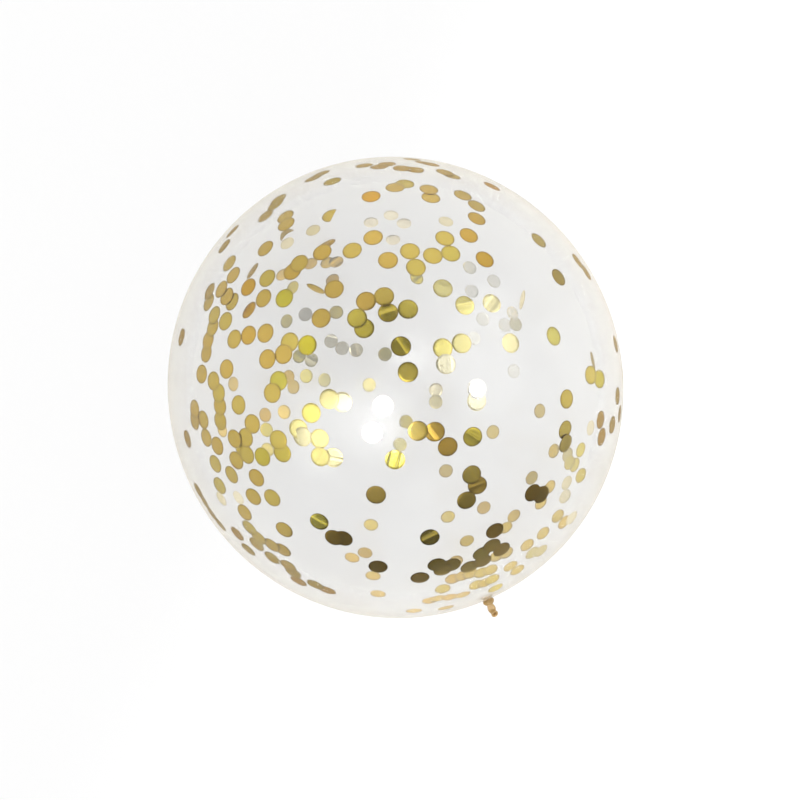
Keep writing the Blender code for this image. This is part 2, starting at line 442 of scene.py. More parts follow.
@dataclass(frozen=True)
class GoldFoil:
    """Thin metallised foil: bright gold, each disc a shade of its own, its palest shades partly a painted
    highlight, streaked, and darkened at its rim by painted shade.
    """

    orange: Colour = (0.73, 0.39, 0.01, 1.0)
    tan: Colour = (0.69, 0.485, 0.105, 1.0)
    gold: Colour = (0.69, 0.555, 0.12, 1.0)
    lemon: Colour = (0.68, 0.59, 0.03, 1.0)
    cream: Colour = (0.60, 0.55, 0.29, 1.0)
    # The pale end of the tones, cream and silver, is partly a painted highlight: it goes to discs that look
    # bright in the glow or faint behind the film's haze.
    painted_highlight_silver: Colour = (0.88, 0.87, 0.80, 1.0)
    tones: tuple[float, ...] = (0.0, 0.3, 0.55, 0.75, 0.88, 1.0)
    # Dark colour for the foil's random flecks, and for the painted shade round each disc's rim.
    tarnish_and_rim_shade: Colour = (0.22, 0.13, 0.04, 1.0)
    roughness: Span = (0.13, 0.26)
    worn_reach: Span = (0.3, 0.7)
    rim_start: float = 0.74
    rim_shade: float = 0.52
    pale_rim_shade: float = 0.10
    pale_start: float = 0.76
    rim_drop: float = 0.00022
    fleck_scale: float = 420.0
    fleck_reach: Span = (0.45, 0.75)
    fleck_shade: float = 0.30
    fleck_depth: float = 0.00004
    streaks: float = 4.5
    streak_length: float = 0.35
    streak_depth: float = 0.00012
    streak_variety: float = 60.0

    def make(self) -> Material:
        """Makes the material.

        Returns:
            The foil's material.
        """
        material = bpy.data.materials.new("gold_foil")
        desk = NodeDesk(material)
        tone = desk.add("ShaderNodeAttribute", attribute_name="tone").outputs["Fac"]
        colours = (self.orange, self.tan, self.gold, self.lemon, self.cream, self.painted_highlight_silver)
        across = desk.add("ShaderNodeUVMap", uv_map=DISC_MAP).outputs["UV"]
        out = desk.vector("MULTIPLY_ADD", across, (2.0, 2.0, 0.0), (-1.0, -1.0, 0.0))
        rim = desk.ease(desk.vector("LENGTH", out), self.rim_start, 1.0)
        fleck = desk.noise(desk.place(), self.fleck_scale)
        drawn = desk.vector("MULTIPLY", out, (self.streaks, self.streak_length, 0.0))
        own = desk.math("MULTIPLY", tone, self.streak_variety)
        shift = desk.add("ShaderNodeCombineXYZ", {"Y": own}).outputs["Vector"]
        streak = desk.noise(desk.vector("ADD", drawn, shift), scale=1.0, detail=1.0)
        flecks = desk.math("MULTIPLY", desk.ease(fleck, *self.fleck_reach), self.fleck_shade)
        # Painted shade: each disc darkens towards its rim, standing in for the thin shadows where discs
        # overlap, less so on the palest discs. The flecks add a random darker mottle of the foil itself.
        rim_shade = desk.ease(tone, self.pale_start, 1.0, self.rim_shade, self.pale_rim_shade)
        flecks_and_rim_shade = desk.math("MULTIPLY_ADD", rim, rim_shade, flecks, clamp=True)
        height = desk.math("MULTIPLY", rim, -self.rim_drop)
        height = desk.math("MULTIPLY_ADD", fleck, self.fleck_depth, height)
        height = desk.math("MULTIPLY_ADD", streak, self.streak_depth, height)
        looks = {
            "Base Color": desk.mix(flecks_and_rim_shade, desk.ramp(tone, *zip(self.tones, colours)), self.tarnish_and_rim_shade),
            "Roughness": desk.ease(fleck, *self.worn_reach, *self.roughness),
            "Metallic": 1.0,
            "Normal": desk.bump(height, distance=1.0),
        }
        desk.fill(desk.shader, looks)
        return material


def to_mesh(name: str, bm: BMesh) -> Mesh:
    """Makes a mesh of a bmesh, which is used up.

    Args:
        name: The mesh's name.
        bm: What it is made of.

    Returns:
        The mesh.
    """
    mesh = bpy.data.meshes.new(name)
    bm.to_mesh(mesh)
    bm.free()
    return mesh


def pour(mesh: Mesh, bm: BMesh) -> None:
    """Adds a mesh, which is used up, to a bmesh."""
    bm.from_mesh(mesh)
    bpy.data.meshes.remove(mesh)


def make_object(name: str, bm: BMesh) -> Object:
    """Makes an object at the origin of a bmesh.

    Args:
        name: The object's name.
        bm: Its mesh, in place in the room; it is used up.

    Returns:
        The object.
    """
    made = bpy.data.objects.new(name, to_mesh(name, bm))
    bpy.context.scene.collection.objects.link(made)
    return made


def link(name: str, bm: BMesh, material: Material) -> Object:
    """Makes a finished piece of a bmesh and lets it ride on the balloon.

    Args:
        name: The piece's name.
        bm: Its mesh, in place in the room; it is used up.
        material: Its finish.

    Returns:
        The piece.
    """
    piece = make_object(name, bm)
    piece.data.shade_smooth()
    piece.data.materials.append(material)
    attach(piece, "root")
    return piece


def spin_round(bm: BMesh, steps: int) -> None:
    """Spins what a mesh holds once round the neck axis, with so many facets round."""
    turn = {"cent": (0, 0, 0), "axis": (0, 1, 0), "dvec": (0, 0, 0), "angle": 2 * math.pi}
    bmesh.ops.spin(bm, geom=bm.verts[:] + bm.edges[:], steps=steps, use_merge=True, **turn)


def turn_wall(
    outline: list[Vector], steps: int, place: Callable[[Vector], Vector], thickness: float
) -> BMesh:
    """Turns an outline about the neck axis and gives it a wall.

    Args:
        outline: Points (radius, y).
        steps: How many facets round.
        place: Moves each point of the turned surface to its place.
        thickness: How thick the wall is, inwards.

    Returns:
        The wall, closed round.
    """
    bm = bmesh.new()
    verts = [bm.verts.new((0.0, point.y, point.x)) for point in outline]
    for pair in zip(verts, verts[1:]):
        bm.edges.new(pair)
    spin_round(bm, steps)
    bmesh.ops.remove_doubles(bm, verts=bm.verts, dist=WELD)
    for vert in bm.verts:
        vert.co = place(vert.co)
    bmesh.ops.recalc_face_normals(bm, faces=bm.faces)
    bmesh.ops.solidify(bm, geom=bm.faces[:], thickness=thickness)
    return bm


@dataclass
class Film:
    """The clear body and neck: one closed film with an outer and an inner side."""

    shape: Shape
    finish: ClearLatex = ClearLatex()
    thickness: float = 0.0003
    steps: int = 240
    body_rings: int = 120
    neck_rings: int = 24

    def build(self) -> Object:
        """Builds and dresses the film.

        Returns:
            The film's object.
        """
        shape = self.shape
        outline = shape.body_outline(self.body_rings) + shape.neck_outline(self.neck_rings)
        bm = turn_wall(outline, self.steps, lambda point: shape.settle(shape.pleat(point)), self.thickness)
        piece = link("film", bm, self.finish.make())
        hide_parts("balloon")
        return piece


@dataclass
class Knot:
    """The gathered neck, its overhand knot, and the flattened tail that curls up to a rolled lip."""

    shape: Shape
    finish: AmberLatex = AmberLatex()
    collar_wall: float = 0.0004
    collar_rings: int = 48
    collar_steps: int = 160
    width: float = 0.021
    tilt: float = math.radians(13.0)
    strand_width: float = 0.0180
    strand_band: float = 0.0066
    strand_tilt: float = math.radians(-34.0)
    strand_turn: float = math.radians(70.0)
    band_sides: int = 24
    band_steps: int = 64
    tail_width: float = 0.0150
    tail_thickness: float = 0.0046
    tail_run: float = 0.0110
    tail_flatness: float = 1.7
    tail_sides: int = 40
    run_steps: int = 8
    curl_radius: float = 0.0085
    curl_angle: float = math.radians(62.0)
    curl_turn: float = math.radians(12.0)
    curl_steps: int = 12
    mouth_width: float = 0.0068
    mouth_depth: float = 0.0050
    mouth_taper: float = 0.7
    lip_roll: float = 0.0032
    lip_start: float = math.radians(-60.0)
    lip_sweep: float = math.radians(240.0)
    lip_steps: int = 12
    film_at_lip: float = 0.0008
    voxel: float = 0.0004
    softening: float = 0.5
    soft_rounds: int = 4

    def band(self, width: float, thickness: float, tilt: float, turn: float) -> BMesh:
        """One turn of latex round the neck axis.

        Args:
            width: Its outer width.
            thickness: How thick the band is.
            tilt: How far it leans.
            turn: Which way it leans.

        Returns:
            The band's mesh, about the body's centre height.
        """
        bm = bmesh.new()
        bmesh.ops.create_circle(bm, segments=self.band_sides, radius=thickness / 2)
        bmesh.ops.translate(bm, vec=((width - thickness) / 2, 0, 0), verts=bm.verts)
        spin_round(bm, self.band_steps)
        lean = Matrix.Rotation(turn, 4, "Y") @ Matrix.Rotation(tilt, 4, "X")
        bmesh.ops.transform(bm, matrix=lean, verts=bm.verts)
        bmesh.ops.translate(bm, vec=(0, self.shape.knot_centre, 0), verts=bm.verts)
        bmesh.ops.recalc_face_normals(bm, faces=bm.faces)
        return bm

    def stations(self) -> list[tuple[Vector, Vector, float, float, float]]:
        """The tail's sections from inside the knot to the mouth's floor.

        Returns:
            Centre, direction, half width, half thickness and flatness of each section.
        """
        centre_y, band = self.shape.knot_centre, self.shape.knot_band
        flat = self.tail_thickness / 2
        inner = self.mouth_width / 2
        outer = inner + self.film_at_lip
        down = Vector((0, -1, 0))
        start = centre_y - band / 2
        end = start - self.tail_run
        found = [(Vector((0, centre_y + band / 4, 0)), down, band / 2, flat, self.tail_flatness)]
        for i in range(self.run_steps + 1):
            share = i / self.run_steps
            width = (band + (self.tail_width - band) * math.sin(share * math.pi / 2)) / 2
            centre = Vector((0, start + (end - start) * share, 0))
            found.append((centre, down, width, flat, self.tail_flatness))
        side = Matrix.Rotation(self.curl_turn, 3, "Y")
        for i in range(1, self.curl_steps + 1):
            share = i / self.curl_steps
            angle = self.curl_angle * share
            swing = Vector((0, -math.sin(angle), 1 - math.cos(angle))) * self.curl_radius
            centre = Vector((0, end, 0)) + side @ swing
            direction = side @ Vector((0, -math.cos(angle), math.sin(angle)))
            width = self.tail_width / 2 + (outer - self.tail_width / 2) * share
            thickness = flat + (outer - flat) * share
            flatness = self.tail_flatness + (1 - self.tail_flatness) * share
            found.append((centre, direction, width, thickness, flatness))
        roll = self.lip_roll / 2
        for i in range(self.lip_steps + 1):
            angle = self.lip_start + self.lip_sweep * i / self.lip_steps
            radius = inner + roll + roll * math.cos(angle)
            rise = roll * (1 + math.sin(angle))
            found.append((centre + direction * rise, direction, radius, radius, 1.0))
        radius = inner * self.mouth_taper
        found.append((centre + direction * (roll - self.mouth_depth), direction, radius, radius, 1.0))
        return found

    def tail(self) -> BMesh:
        """Draws the tail out section by section.

        Returns:
            The tail's closed mesh.
        """
        bm = bmesh.new()
        bmesh.ops.create_circle(bm, segments=self.tail_sides, radius=1.0)
        bm.verts.ensure_lookup_table()
        ring, first = list(bm.verts), list(bm.edges)
        edges = first
        for number, station in enumerate(self.stations()):
            if number:
                drawn = bmesh.ops.extrude_edge_only(bm, edges=edges)["geom"]
                edges = [item for item in drawn if isinstance(item, BMEdge) and item.is_boundary]
                fresh = {vert for edge in edges for vert in edge.verts}
                ring = [
                    next(edge.other_vert(vert) for edge in vert.link_edges if edge.other_vert(vert) in fresh)
                    for vert in ring
                ]
            centre, direction, width, thickness, flatness = station
            across = Vector((1, 0, 0))
            across = (across - across.dot(direction) * direction).normalized()
            upward = across.cross(direction)
            for i, vert in enumerate(ring):
                angle = 2 * math.pi * i / self.tail_sides
                height = max(-1.0, min(1.0, flatness * math.sin(angle)))
                vert.co = centre + across * width * math.cos(angle) + upward * thickness * height
        for loop in (first, edges):
            bmesh.ops.contextual_create(bm, geom=loop)
        bmesh.ops.recalc_face_normals(bm, faces=bm.faces)
        return bm

    def lump(self) -> Mesh:
        """Melts bands and tail into one skin.

        Returns:
            The knot's and tail's mesh.
        """
        bm = bmesh.new()
        first = self.band(self.width, self.shape.knot_band, self.tilt, 0.0)
        second = self.band(self.strand_width, self.strand_band, self.strand_tilt, self.strand_turn)
        for part in (first, second, self.tail()):
            pour(to_mesh("part", part), bm)
        rough = make_object("lump", bm)
        melt = rough.modifiers.new("melt", "REMESH")
        melt.mode = "VOXEL"
        melt.voxel_size = self.voxel
        soften = rough.modifiers.new("soften", "SMOOTH")
        soften.factor = self.softening
        soften.iterations = self.soft_rounds
        bpy.context.view_layer.update()
        depsgraph = bpy.context.evaluated_depsgraph_get()
        skin = bpy.data.meshes.new_from_object(rough.evaluated_get(depsgraph))
        bpy.data.objects.remove(rough)
        return skin

    def build(self) -> Object:
        """Builds and dresses the neck, knot and tail.

        Returns:
            The knot's object.
        """
        shape = self.shape
        outline = [point for point in shape.neck_outline(self.collar_rings) if point.x < shape.pleat_reach]
        bm = turn_wall(outline, self.collar_steps, shape.pleat, self.collar_wall)
        pour(self.lump(), bm)
        bmesh.ops.translate(bm, vec=(0, 0, shape.axis_height), verts=bm.verts)
        piece = link("knot", bm, self.finish.make())
        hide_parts("balloon")
        return piece


@dataclass(frozen=True)
class Trail:
    """A run of discs that cling close together, named for where it shows in the picture.

    Its spots are pixels right of and below the picture's top left corner. `tone` runs from 0,
    orange, to 1, silver; its pale end is partly a painted highlight, given to discs that look
    bright in the glow or faint behind the film. `lean` turns the side against the film to the
    picture's right and up. A standing or curled disc has its long way, and a creased or folded
    one its crease, at the angle `spin`, counter-clockwise from the right, and `tip` is how far it
    stands up. All are in degrees.
    """

    name: str
    spots: tuple[tuple[int, int], ...]
    form: Form = Form.FLAT
    tone: float | None = None
    lean: Span = (0.0, 0.0)
    spin: float | None = None
    tip: float = 75.0
    wall: Wall = Wall.NEAR


# Tones near 1 here, as in the bright, pale and glow trails, are partly a painted highlight: pale foil for
# discs that catch the glow.
NEAR_TRAILS = (
    Trail("top limb, left", ((313, 178), (321, 173), (332, 181))),
    Trail("top limb", ((364, 165), (379, 166), (387, 163), (402, 168), (415, 169), (412, 159), (431, 164))),
    Trail("top limb, right", ((445, 172), (452, 175), (492, 186), (424, 162))),
    Trail("top orange", ((371, 196),), tone=0.0),
    Trail("top pairs", ((395, 187), (405, 183), (429, 189), (431, 197))),
    Trail("upper right string", ((463, 195), (477, 205), (477, 218))),
    Trail("upper right pair", ((445, 238), (469, 235))),
    Trail("top band", ((451, 253), (433, 255), (410, 251), (388, 260), (373, 237), (352, 250))),
    Trail("top band's yellow", ((416, 267),), tone=0.62),
    Trail("top band's end", ((485, 259),), tone=0.2),
    Trail("upper left band", ((322, 252), (299, 263), (292, 271), (265, 248))),
    Trail("upper left heap", ((278, 199), (275, 204), (265, 215), (286, 224))),
    Trail("upper left cup", ((285, 216),), Form.CREASED),
    Trail("half-moon", ((331, 215),), Form.FOLDED, spin=250),
    Trail("crescent", ((283, 230),), Form.CURLED, spin=40, tip=114),
    Trail("blade on the band", ((325, 241),), Form.STANDING, spin=208, tip=64),
    Trail("upper sliver", ((250, 269),), Form.STANDING, spin=236, tip=67, tone=0.3),
    Trail("left sliver", ((247, 309),), Form.STANDING, spin=235, tip=55, tone=0.1),
    Trail("middle sliver", ((312, 284),), Form.STANDING, spin=-24, tip=76, tone=0.5),
    Trail("faint sliver", ((528, 296),), Form.STANDING, spin=260, tip=82, tone=0.9),
    Trail("upper left row", ((267, 278), (263, 298))),
    Trail("upper left orange", ((248, 287),), tone=0.14),
    Trail("upper left olive", ((284, 298),), tone=0.73),
    Trail(
        "left belt, top",
        ((229, 263), (233, 275), (221, 289), (226, 296), (231, 301), (214, 315), (225, 321)),
    ),
    Trail("left rim", ((209, 291), (208, 302))),
    Trail("left belt", ((212, 327), (207, 340), (205, 353), (201, 374))),
    Trail("left belt, low", ((213, 381), (218, 393), (219, 406), (219, 421))),
    Trail("left row", ((234, 339), (248, 335), (265, 333), (226, 369))),
    Trail("left limb", ((181, 337), (187, 439), (224, 246), (232, 231))),
    Trail("left inner row", ((267, 359), (283, 354), (289, 342), (272, 393))),
    Trail("left inner yellow", ((307, 345), (278, 381)), tone=0.74),
    Trail("middle left", ((321, 318), (334, 289), (366, 301), (384, 296))),
    Trail("middle olive", ((357, 318), (364, 328), (408, 309)), tone=0.62),
    Trail("middle striped", ((388, 312),), Form.BANDED, spin=17, tone=0.6),
    Trail("middle column", ((401, 346),), Form.BANDED, spin=-55, tone=0.6),
    Trail("middle column, low", ((408, 372),), tone=0.6),
    Trail("bright row", ((443, 288), (465, 305), (492, 303)), Form.CREASED, tone=0.85),
    Trail("bright heap", ((446, 364),), Form.CREASED, spin=95, tone=0.94),
    Trail("bright heap, top", ((443, 348),), tone=0.88, lean=(2, 0)),
    Trail("bright heap, right", ((462, 343),), tone=0.88),
    Trail("bright pair", ((477, 389), (477, 401)), tone=1.0),
    Trail("right", ((511, 343),), Form.CREASED, tone=0.94),
    Trail("right gold", ((554, 336),), tone=0.83),
    Trail("right shoulder", ((539, 240), (559, 277))),
    Trail("right shoulder limb", ((578, 261), (587, 272))),
    Trail("right flank", ((592, 375),), tone=0.45, lean=(-9, 0)),
    Trail("right flank, outer", ((601, 379),), tone=0.6, lean=(-12, 0)),
    Trail("right flank's stem", ((596, 360),), Form.STANDING, spin=102, tip=72),
    Trail("right belt", ((567, 399),), tone=0.5),
    Trail("right belt, low", ((566, 430), (567, 444)), Form.CREASED, spin=80, tone=0.5, lean=(0, -5)),
    Trail("right belt, outer", ((601, 420), (602, 437)), tone=0.15),
    Trail("right belt's gold", ((613, 425), (620, 414)), tone=0.3, lean=(-4, 0)),
    Trail("right limb", ((616, 344), (618, 396), (623, 374)), lean=(-2, 0)),
    Trail("low chain", ((418, 431),), tone=0.4, lean=(1, 0)),
    Trail("low chain's ends", ((435, 432),), Form.BANDED, spin=128, tone=0.25),
    Trail("low chain, outer", ((473, 437),), Form.BANDED, spin=150, tone=0.6),
    Trail("low chain's middle", ((448, 447),), tone=0.2, lean=(0, -5)),
    Trail("low heap", ((472, 475),), Form.BANDED, spin=-62, tone=0.5),
    Trail("low heap, right", ((478, 486),), Form.CREASED, spin=20, tone=0.35, lean=(-7, 6)),
    Trail("low heap, left", ((467, 501),), Form.CREASED, spin=60, tone=0.3, lean=(-3, 3)),
    Trail("low stripes", ((395, 460),), Form.CREASED, spin=76, tone=0.82, lean=(1, -1.2)),
    Trail("low left banded", ((319, 522),), Form.BANDED, spin=-31, tone=0.8),
    Trail("low banded", ((430, 538),), Form.BANDED, spin=27, tone=0.6),
    Trail("low brown", ((376, 495), (420, 578))),
    Trail("low bronze", ((334, 538), (343, 539), (378, 567)), tone=0.25),
    Trail("low bronze heap", ((437, 565), (443, 571), (452, 566))),
    Trail("neck heap, top", ((495, 531), (492, 546)), tone=0.25),
    Trail("neck heap", ((482, 554), (502, 550), (483, 562), (470, 568))),
    Trail("low right heap", ((533, 493), (542, 495)), tone=0.3),
    Trail("left hip, outer", ((194, 409), (194, 421), (202, 420), (205, 438), (217, 446))),
    Trail("left hip", ((252, 424), (234, 439), (245, 438), (246, 455), (235, 461), (231, 475), (241, 449))),
    Trail("left hip, inner", ((262, 457), (278, 440), (282, 453)), tone=0.62),
    Trail("left strays", ((238, 405), (215, 464), (219, 486)), tone=0.5),
    Trail("lower left", ((256, 478), (253, 497), (272, 498), (244, 513), (284, 530), (237, 534))),
    Trail("lower left column", ((249, 528), (258, 538), (256, 545), (271, 546), (282, 551), (272, 558))),
    Trail("lower left tail", ((288, 566), (293, 573), (298, 582), (315, 585), (327, 591))),
    Trail("lower left limb", ((198, 491), (204, 502), (211, 514), (219, 525), (248, 550))),
    Trail("bright left", ((311, 413), (329, 399), (342, 402)), tone=0.88),
    Trail("bright lower left", ((320, 457), (333, 458)), Form.CREASED, tone=0.84),
    Trail("pale left", ((298, 429), (302, 437), (319, 439)), tone=0.85),
    Trail("in the glow", ((383, 406), (372, 433)), tone=0.97),
)

# Tones near 1 here, as in the faint, grey and top trails, are partly painted highlight and haze: pale foil
# for discs that show faint through the film.
FAR_TRAILS = (
    Trail("upper left", ((313, 230),), tone=0.92),
    Trail("upper left, faint", ((287, 243),), tone=1.0),
    Trail("upper left, outer", ((282, 274), (310, 263)), lean=(0, 7)),
    Trail("upper left, inner", ((292, 287),), tone=0.8, lean=(-14, 2)),
    Trail("upper middle", ((327, 262), (336, 261)), Form.CREASED, lean=(-5, 11)),
    Trail("upper middle, low", ((332, 279),), Form.CREASED, lean=(-12, 14)),
    Trail("top", ((371, 222), (391, 215), (404, 223), (446, 221)), tone=1.0, lean=(0, 6)),
    Trail("top, low", ((393, 239),), Form.CREASED, tone=1.0, lean=(0, 13)),
    Trail("under the yellow", ((417, 277),), Form.CREASED, tone=0.8, lean=(18, 0)),
    Trail("grey", ((305, 314),), Form.CREASED, tone=0.92, lean=(8, 0)),
    Trail("tan by the grey", ((336, 312),), tone=0.6, lean=(9, 0)),
    Trail("grey, outer", ((286, 321),), tone=0.8, lean=(-10, 0)),
    Trail("dark grey", ((385, 354),), lean=(-8, 0), tone=0.85),
    Trail("grey heap", ((331, 341), (342, 348), (356, 350)), Form.CREASED, tone=0.93),
    Trail("grey heap, left", ((299, 356), (311, 360)), Form.CREASED, tone=0.86, lean=(0, 5)),
    Trail("left inner", ((293, 387), (288, 377)), lean=(-10, 0)),
    Trail("left inner, pale", ((306, 376),), lean=(-6, 0), tone=0.9),
    Trail("left inner, last", ((324, 380),), lean=(-13, 0), tone=0.84),
    Trail("left inner, outermost", ((233, 384),), lean=(-3, 0)),
    Trail("left hip", ((265, 415), (284, 412), (222, 430))),
    Trail("left hip, low", ((266, 430), (267, 450)), tone=0.6, lean=(8, 0)),
    Trail("glow", ((369, 385), (400, 445)), tone=0.86, lean=(-13, -2)),
    Trail("glow, right", ((406, 422),), tone=0.6, lean=(-12, -2)),
    Trail("right top", ((494, 281), (472, 291), (483, 319), (513, 313), (505, 325), (516, 324)), tone=1.0),
    Trail("right top, first", ((470, 267),), tone=1.0, lean=(5, 0)),
    Trail("right faint", ((514, 371),), tone=1.0),
    Trail("right faint, left", ((474, 338),), tone=1.0, lean=(4, 0)),
    Trail("right middle", ((493, 432), (540, 411))),
    Trail("right middle, top", ((436, 390),), tone=0.86),
    Trail("right middle, under", ((436, 402),), tone=0.86, lean=(4, 4)),
    Trail("right hip", ((554, 451),), tone=0.5),
    Trail("right hip, grey", ((568, 455), (581, 450), (575, 465), (570, 463)), tone=0.8),
    Trail("right hip, faint", ((567, 483), (591, 428)), tone=0.96),
    Trail("right hip's gold", ((582, 476),), Form.HEAPED, tone=0.62),
    Trail("low middle", ((446, 471), (484, 508), (448, 517), (467, 541), (371, 525))),
    Trail("low left", ((352, 558), (365, 553), (373, 576), (378, 594))),
    Trail("low left, faint", ((221, 499), (238, 498)), tone=0.96),
    Trail("low right", ((532, 478), (550, 487), (541, 503), (514, 516), (506, 528)), tone=0.5),
    Trail("low right chain", ((559, 517), (565, 523), (544, 534), (528, 546)), Form.HEAPED, tone=0.5),
    Trail("low right chain, outer", ((533, 554), (542, 552), (573, 519), (566, 497)), Form.HEAPED, tone=0.94),
    Trail("neck pile", ((497, 557), (507, 554), (491, 571), (482, 574), (511, 567)), Form.HEAPED, tone=0.55),
    Trail("neck pile, left", ((453, 580), (463, 577), (471, 575), (443, 590), (456, 562)), Form.HEAPED),
    Trail("neck pile, low", ((477, 586), (486, 584), (493, 581), (518, 571)), Form.HEAPED, tone=0.55),
    Trail("neck yellow", ((496, 589),), Form.HEAPED, tone=0.75, lean=(8, -14)),
    Trail("neck rim", ((430, 601), (438, 599), (450, 598), (463, 596), (446, 608), (414, 611))),
)


@dataclass
class Confetti:
    """The gold foil discs that cling to the inside of the film."""

    shape: Shape
    view: Viewpoint
    trails: tuple[Trail, ...] = NEAR_TRAILS + tuple(replace(trail, wall=Wall.FAR) for trail in FAR_TRAILS)
    finish: GoldFoil = GoldFoil()
    diameter: float = 0.030
    thickness: float = 0.00015
    film: float = 0.0003
    gap: float = 0.00015
    layer: float = 0.0006
    sides: int = 24
    strips: int = 8
    sharp_angle: float = math.radians(5.0)
    unevenness: float = math.radians(1.6)
    ripple: float = 0.02
    crease: float = math.radians(4.0)
    heap_lean: float = 0.15
    band_slope: float = math.radians(13.0)
    band_edge: float = 0.6
    band_starts: tuple[int, int] = (4, 5)
    fold_slope: float = math.radians(168.0)
    fold_line: int = 5
    curl_radius: float = 0.017
    bow_radius: Span = (0.25, 1.2)
    usual_tone: float = 0.37
    tone_spread: float = 0.085
    deepest_tone: float = 0.72
    tone_wobble: float = 0.04
    seed: int = 7
    laid: list[tuple[Vector, int]] = field(default_factory=list)

    @property
    def strip(self) -> float:
        """How wide each strip of a disc is."""
        return self.diameter / self.strips

    def blank(self) -> Mesh:
        """Cuts one flat disc, in strips so that it can bend.

        Returns:
            The disc's mesh, with +Z towards the balloon's inside.
        """
        bm = bmesh.new()
        radius = self.diameter / 2
        bmesh.ops.create_circle(bm, cap_ends=True, segments=self.sides, radius=radius)
        for i in range(1, self.strips):
            geom = bm.verts[:] + bm.edges[:] + bm.faces[:]
            cut = (radius * (2 * i / self.strips - 1), 0, 0)
            bmesh.ops.bisect_plane(bm, geom=geom, dist=WELD, plane_co=cut, plane_no=(1, 0, 0))
        drawn = bmesh.ops.extrude_face_region(bm, geom=bm.faces[:])["geom"]
        raised = [item for item in drawn if isinstance(item, BMVert)]
        bmesh.ops.translate(bm, vec=(0, 0, self.thickness), verts=raised)
        bmesh.ops.recalc_face_normals(bm, faces=bm.faces)
        return to_mesh("blank", bm)

    def slopes(self, form: Form, chance: random.Random) -> list[float]:
        """How far each strip of a disc is tipped from the disc's own plane.

        Args:
            form: How the disc is bent.
            chance: The source of its unevenness.

        Returns:
            An angle for each strip.
        """
        if form is Form.CREASED:
            return [chance.gauss(0.0, self.crease) for _ in range(self.strips)]
        if form is Form.BANDED:
            band = chance.choice(self.band_starts)
            flat = [chance.gauss(0.0, self.ripple) for _ in range(self.strips)]
            return flat[:band] + [self.band_slope, self.band_edge * self.band_slope] + flat[band + 2 :]
        if form is Form.FOLDED:
            return [0.0 if i < self.fold_line else self.fold_slope for i in range(self.strips)]
        bow = self.curl_radius if form is Form.CURLED else chance.uniform(*self.bow_radius)
        return [(i - (self.strips - 1) / 2) * self.strip / bow for i in range(self.strips)]

    def bend(self, verts: list[BMVert], slopes: list[float]) -> None:
        """Tips the strips of a flat disc, one after another from its middle line.

        Args:
            verts: The disc's corners.
            slopes: An angle for each strip.
        """
        half = self.strips // 2
        lines = [Vector((0.0, 0.0))]
        for slope in slopes[half:]:
            lines.append(lines[-1] + Vector((math.cos(slope), math.sin(slope))) * self.strip)
        for slope in reversed(slopes[:half]):
            lines.insert(0, lines[0] - Vector((math.cos(slope), math.sin(slope))) * self.strip)
        for vert in verts:
            place = vert.co.x / self.strip + half
            i = min(self.strips - 1, max(0, int(place)))
            spot = lines[i].lerp(lines[i + 1], place - i)
            up = Vector((-math.sin(slopes[i]), math.cos(slopes[i]))) * vert.co.z
            vert.co = Vector((spot.x + up.x, vert.co.y, spot.y + up.y))

    def level(self, point: Vector) -> int:
        """How many discs already lie between this one and the film.

        Args:
            point: Where the disc goes.

        Returns:
            Its layer, 0 against the film.
        """
        under = [layer for other, layer in self.laid if (other - point).length < self.diameter]
        layer = max(under) + 1 if under else 0
        self.laid.append((point, layer))
        return layer

    def stance(self, trail: Trail, inwards: Vector, chance: random.Random) -> Matrix:
        """Which way a disc is turned.

        Args:
            trail: The trail that the disc belongs to.
            inwards: The direction inwards from the film where it lies.
            chance: The source of its unevenness.

        Returns:
            The turn from the flat blank to the disc in the room.
        """
        spin = chance.uniform(0.0, 360.0) if trail.spin is None else trail.spin
        long = self.view.along(spin)
        if trail.form in (Form.STANDING, Form.CURLED):
            tip = math.radians(trail.tip)
            face = Vector((0, 0, math.cos(tip))) + self.view.along(spin - 90.0) * math.sin(tip)
            return Matrix((long, face.cross(long), face)).transposed().to_4x4()
        towards = self.view.right * math.tan(math.radians(trail.lean[0]))
        towards += self.view.up * math.tan(math.radians(trail.lean[1]))
        if trail.form is Form.HEAPED:
            towards -= Vector((0, 0, self.heap_lean))
        face = (inwards - towards).normalized()
        crease = (long - Vector((0, 0, long.dot(face) / face.z))).normalized()
        turned = Matrix((crease.cross(face), crease, face)).transposed().to_4x4()
        tipped = abs(chance.gauss(0.0, self.unevenness))
        return Matrix.Rotation(tipped, 4, self.view.along(chance.uniform(0, 360))) @ turned

    def lay(self, bm: BMesh, fresh: list, trail: Trail, pixel: Vector, chance: random.Random) -> None:
        """Bends one disc and moves it to its place on the film.

        Args:
            bm: The mesh that holds the disc.
            fresh: The disc's corners, still flat at the origin.
            trail: The trail that the disc belongs to.
            pixel: Where it shows in the picture.
            chance: The source of its unevenness.
        """
        point, inwards = self.view.meet(self.shape, pixel, trail.wall, self.film)
        layer = self.level(point)
        self.bend(fresh, self.slopes(trail.form, chance))
        bmesh.ops.transform(bm, matrix=self.stance(trail, inwards, chance), verts=fresh)
        deepest = min(vert.co.dot(inwards) for vert in fresh)
        sag = (self.diameter / 2) ** 2 / self.shape.width
        move = point + inwards * (self.gap + sag - deepest + layer * self.layer)
        lowest = move.z + min(vert.co.z for vert in fresh)
        move.z += max(0.0, self.film + self.gap - lowest)
        bmesh.ops.translate(bm, vec=move, verts=fresh)

